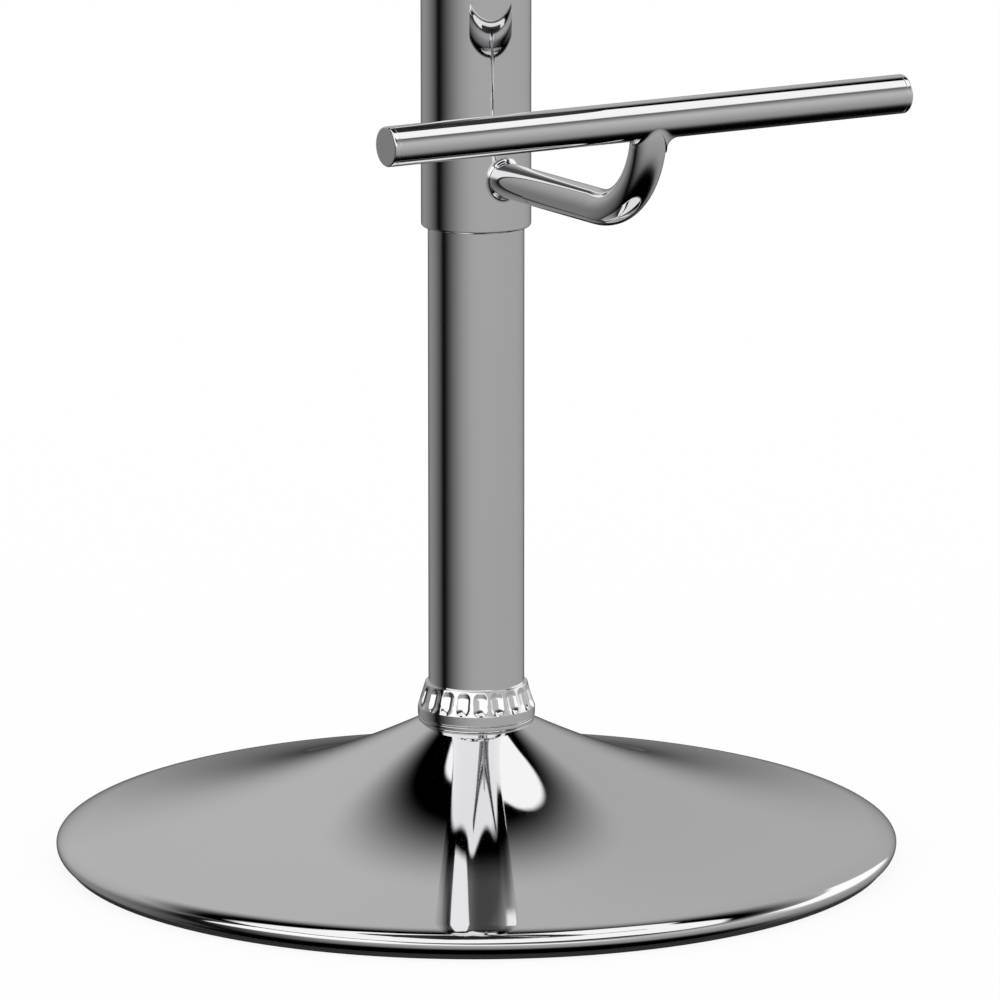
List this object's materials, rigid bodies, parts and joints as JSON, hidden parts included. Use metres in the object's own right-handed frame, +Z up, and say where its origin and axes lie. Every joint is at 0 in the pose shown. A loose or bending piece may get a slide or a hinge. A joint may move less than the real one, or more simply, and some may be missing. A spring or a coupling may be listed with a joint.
{
  "type": "swivel bar stool",
  "caption": "Chromed swivel bar stool with trumpet base, gas-spring column, telescoping sleeve with T-shaped footrest, height lever and square padded seat.",
  "frame": {"origin": "on the floor at the column's axis", "axes": "+Z up along the column, -Y towards the footrest, -X towards the height lever"},
  "size_m": [0.44, 0.44, 0.8178],
  "materials": {
    "base_chrome": "polished chrome on spun steel",
    "tube_chrome": "polished chrome on drawn tube",
    "trim_chrome": "bright chrome trim",
    "plain_steel": "plain pressed steel",
    "bearing_steel": "ground steel",
    "zinc_steel": "zinc plated",
    "cage_brass": "turned",
    "alloy": "machined",
    "black_enamel": "semi-gloss black",
    "black_rubber": "matt black",
    "black_plastic": "fine moulded texture",
    "white_acetal": "moulded, natural white",
    "plywood": "raw plywood",
    "lining_cloth": "black non-woven lining",
    "brown_leatherette": "dark brown coated fabric over foam"
  },
  "bodies": {
    "pedestal": {"base_shell": "base_chrome", "floor_ring": "black_rubber", "hub_socket": "plain_steel", "hub_dish": "plain_steel", "step_ring": "trim_chrome", "collar_ring": "trim_chrome", "lower_column": "tube_chrome", "column_end_plate": "plain_steel", "thrust_washer_lower": "bearing_steel", "thrust_cage": "cage_brass", "thrust_balls": "bearing_steel", "guide_bushing": "white_acetal"},
    "spring_rod": {"thrust_washer_upper": "bearing_steel", "piston_rod": "bearing_steel", "retaining_clip": "bearing_steel", "buffer": "black_rubber", "piston": "alloy", "piston_seal": "black_rubber"},
    "seat_upper": {"pressure_tube": "black_enamel", "rod_guide": "white_acetal", "rod_seal": "black_rubber", "valve_body": "alloy", "cover_sleeve": "tube_chrome", "sleeve_glide": "black_plastic", "footrest_arm": "tube_chrome", "foot_bar": "tube_chrome", "bar_cap_left": "trim_chrome", "bar_cap_right": "trim_chrome", "seat_plate": "black_enamel", "seat_socket": "black_enamel", "lever_bracket": "plain_steel", "lever_pin": "bearing_steel", "seat_lining": "lining_cloth", "seat_board": "plywood", "seat_pad": "brown_leatherette", "seat_bolts": "zinc_steel", "bolt_washers": "zinc_steel", "tee_nuts": "zinc_steel"},
    "height_lever": {"lever_rod": "trim_chrome", "lever_grip": "black_plastic"},
    "gas_valve": {"release_pin": "cage_brass"}
  },
  "joints": [
    {"name": "seat_swivel", "type": "hinge", "parent": "pedestal", "child": "spring_rod", "pos_m": [0, 0, 0.023], "axis": [0, 0, 1], "continuous": true},
    {"name": "seat_lift", "type": "slide", "parent": "spring_rod", "child": "seat_upper", "axis": [0, 0, -1], "range_m": [0, 0.215]},
    {"name": "lever_lift", "type": "hinge", "parent": "seat_upper", "child": "height_lever", "pos_m": [-0.03, 0, 0.741], "axis": [0, 1, 0], "range_deg": [0, 6], "stiffness_Nm_per_rad": 6, "springref_deg": -3.44},
    {"name": "valve_press", "type": "slide", "parent": "seat_upper", "child": "gas_valve", "axis": [0, 0, -1], "range_m": [0, 0.0033]}
  ],
  "couplings": [
    {"joint": "valve_press", "follows": "lever_lift", "m_per_rad": 0.03}
  ]
}
